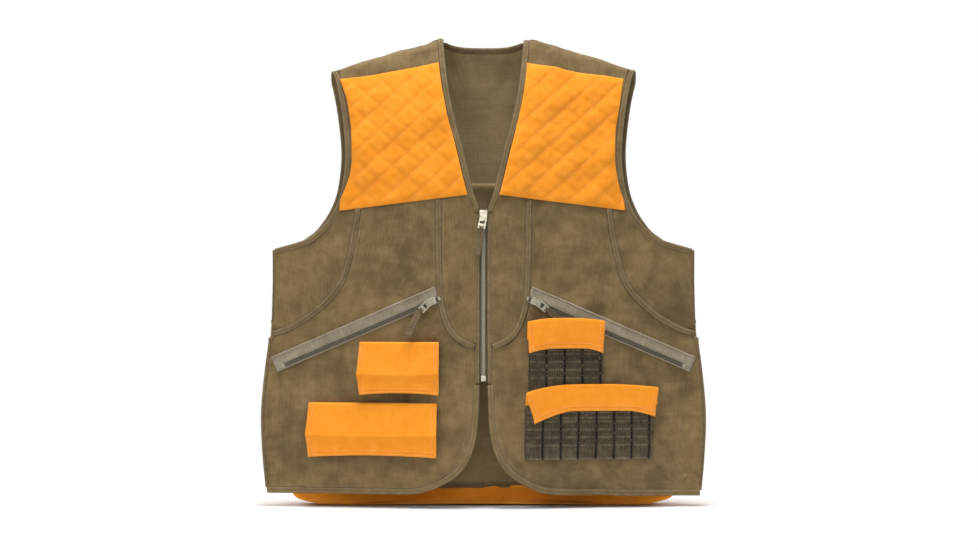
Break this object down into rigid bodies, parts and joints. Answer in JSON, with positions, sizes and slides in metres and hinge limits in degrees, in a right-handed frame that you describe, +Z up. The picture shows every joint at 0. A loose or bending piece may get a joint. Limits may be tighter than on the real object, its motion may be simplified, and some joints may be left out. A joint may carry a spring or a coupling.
{
  "type": "hunting vest",
  "caption": "Zip-front canvas hunting vest with quilted orange shooting patches, folding flaps over elastic shell loops, slash pockets and a game bag.",
  "frame": {"origin": "middle of the box that holds the vest, at its foot", "axes": "+Z up, -Y towards the front, +X towards the wearer's left; the side seams lie in the plane y = 0"},
  "size_m": [0.62, 0.149, 0.6535],
  "materials": {
    "canvas": "matte",
    "quilted_orange": "matte",
    "orange_cloth": "matte",
    "binding_tape": "matte",
    "elastic": "matte",
    "pull_tab": "matte",
    "zip_tape_light": "matte",
    "zip_tape_dark": "matte",
    "zip_coil": "satin",
    "zip_teeth": "satin",
    "nickel": "satin"
  },
  "bodies": {
    "vest": {"right_front_panel": "canvas", "left_front_panel": "canvas", "right_center_panel": "canvas", "left_center_panel": "canvas", "right_side_panel": "canvas", "left_side_panel": "canvas", "right_shoulder_panel": "canvas", "left_shoulder_panel": "canvas", "right_shooting_patch": "quilted_orange", "left_shooting_patch": "quilted_orange", "back_yoke": "canvas", "back_panel": "canvas", "neck_binding": "binding_tape", "right_armhole_binding": "binding_tape", "left_armhole_binding": "binding_tape", "right_hem_binding": "binding_tape", "left_hem_binding": "binding_tape", "right_bib_seam": "binding_tape", "left_bib_seam": "binding_tape", "right_side_seam": "binding_tape", "left_side_seam": "binding_tape", "game_bag_gusset": "orange_cloth", "game_bag_apron": "orange_cloth", "right_pocket_bag": "canvas", "left_pocket_bag": "canvas", "right_pocket_tape": "zip_tape_light", "left_pocket_tape": "zip_tape_light", "right_pocket_coil": "zip_coil", "left_pocket_coil": "zip_coil", "right_pocket_stops": "nickel", "left_pocket_stops": "nickel", "right_zip_tape": "zip_tape_dark", "left_zip_tape": "zip_tape_dark", "zip_chain": "zip_teeth", "zip_box": "nickel", "right_upper_loops": "elastic", "right_lower_loops": "elastic", "left_upper_loops": "elastic", "left_lower_loops": "elastic", "hem_rivet": "nickel"},
    "main_slider": {"main_slider": "nickel"},
    "main_pull": {"main_pull": "nickel"},
    "main_tab": {"main_tab": "pull_tab"},
    "game_bag_wall": {"game_bag_wall": "orange_cloth", "game_bag_binding": "binding_tape"},
    "right_pocket_slider": {"right_pocket_slider": "nickel"},
    "right_pocket_pull": {"right_pocket_pull": "nickel"},
    "right_pocket_tab": {"right_pocket_tab": "pull_tab"},
    "right_upper_flap": {"right_upper_flap": "orange_cloth"},
    "right_upper_flap_end": {"right_upper_flap_end": "orange_cloth"},
    "right_lower_flap": {"right_lower_flap": "orange_cloth"},
    "right_lower_flap_end": {"right_lower_flap_end": "orange_cloth"},
    "left_pocket_slider": {"left_pocket_slider": "nickel"},
    "left_pocket_pull": {"left_pocket_pull": "nickel"},
    "left_pocket_tab": {"left_pocket_tab": "pull_tab"},
    "left_upper_flap": {"left_upper_flap": "orange_cloth"},
    "left_upper_flap_end": {"left_upper_flap_end": "orange_cloth"},
    "left_lower_flap": {"left_lower_flap": "orange_cloth"},
    "left_lower_flap_end": {"left_lower_flap_end": "orange_cloth"}
  },
  "joints": [
    {"name": "main_slider_slide", "type": "slide", "parent": "vest", "child": "main_slider", "axis": [0, 0, -1], "range_m": [0, 0.21]},
    {"name": "main_pull_hinge", "type": "hinge", "parent": "main_slider", "child": "main_pull", "pos_m": [0, -0.0636, 0.406], "axis": [-0.9848, 0, 0.1736], "range_deg": [0, 140]},
    {"name": "main_tab_hinge", "type": "hinge", "parent": "main_pull", "child": "main_tab", "pos_m": [-0.00278, -0.0636, 0.39024], "axis": [-0.9848, 0, 0.1736], "range_deg": [0, 30]},
    {"name": "right_pocket_slide", "type": "slide", "parent": "vest", "child": "right_pocket_slider", "axis": [-0.9005, 0.1972, -0.3876], "range_m": [0, 0.2]},
    {"name": "right_pocket_pull_hinge", "type": "hinge", "parent": "right_pocket_slider", "child": "right_pocket_pull", "pos_m": [-0.07487, -0.05876, 0.28707], "axis": [-0.6638, 0.1453, 0.7337], "range_deg": [0, 140]},
    {"name": "right_pocket_tab_hinge", "type": "hinge", "parent": "right_pocket_pull", "child": "right_pocket_tab", "pos_m": [-0.08634, -0.05625, 0.2762], "axis": [-0.6638, 0.1453, 0.7337], "range_deg": [0, 15]},
    {"name": "right_upper_flap_seam", "type": "hinge", "parent": "vest", "child": "right_upper_flap", "pos_m": [-0.061, -0.05948, 0.231], "axis": [-0.9801, 0.1985, 0], "range_deg": [0, 110]},
    {"name": "right_upper_flap_crease", "type": "hinge", "parent": "right_upper_flap", "child": "right_upper_flap_end", "pos_m": [-0.06222, -0.06549, 0.18743], "axis": [-0.9801, 0.1985, 0], "range_deg": [-160, 5]},
    {"name": "right_lower_flap_seam", "type": "hinge", "parent": "vest", "child": "right_lower_flap", "pos_m": [-0.064, -0.05861, 0.146], "axis": [-0.9764, 0.216, 0], "range_deg": [0, 130]},
    {"name": "right_lower_flap_crease", "type": "hinge", "parent": "right_lower_flap", "child": "right_lower_flap_end", "pos_m": [-0.06532, -0.06459, 0.10243], "axis": [-0.9764, 0.216, 0], "range_deg": [-160, 5]},
    {"name": "left_pocket_slide", "type": "slide", "parent": "vest", "child": "left_pocket_slider", "axis": [0.9005, 0.1972, -0.3876], "range_m": [0, 0.2]},
    {"name": "left_pocket_pull_hinge", "type": "hinge", "parent": "left_pocket_slider", "child": "left_pocket_pull", "pos_m": [0.07487, -0.05876, 0.28707], "axis": [-0.5852, -0.1281, -0.8007], "range_deg": [0, 4]},
    {"name": "left_pocket_tab_hinge", "type": "hinge", "parent": "left_pocket_pull", "child": "left_pocket_tab", "pos_m": [0.08738, -0.05602, 0.27749], "axis": [-0.5852, -0.1281, -0.8007], "range_deg": [0, 2]},
    {"name": "left_upper_flap_seam", "type": "hinge", "parent": "vest", "child": "left_upper_flap", "pos_m": [0.06, -0.06566, 0.236], "axis": [0.9805, 0.1965, 0], "range_deg": [0, 155]},
    {"name": "left_upper_flap_crease", "type": "hinge", "parent": "left_upper_flap", "child": "left_upper_flap_end", "pos_m": [0.06074, -0.06934, 0.26274], "axis": [0.9805, 0.1965, 0], "range_deg": [-160, 5]},
    {"name": "left_lower_flap_seam", "type": "hinge", "parent": "vest", "child": "left_lower_flap", "pos_m": [0.058, -0.06003, 0.145], "axis": [0.9768, 0.2142, 0], "range_deg": [0, 155]},
    {"name": "left_lower_flap_crease", "type": "hinge", "parent": "left_lower_flap", "child": "left_lower_flap_end", "pos_m": [0.05887, -0.064, 0.17068], "axis": [0.9768, 0.2142, 0], "range_deg": [-160, 5]},
    {"name": "game_bag_hinge", "type": "hinge", "parent": "vest", "child": "game_bag_wall", "pos_m": [0, 0.07211, 0.00003], "axis": [-1, 0, 0], "range_deg": [0, 25]}
  ],
  "couplings": [
    {"joint": "right_upper_flap_crease", "follows": "right_upper_flap_seam", "ratio": -1},
    {"joint": "right_lower_flap_crease", "follows": "right_lower_flap_seam", "ratio": -1},
    {"joint": "left_upper_flap_crease", "follows": "left_upper_flap_seam", "ratio": -1},
    {"joint": "left_lower_flap_crease", "follows": "left_lower_flap_seam", "ratio": -1}
  ]
}
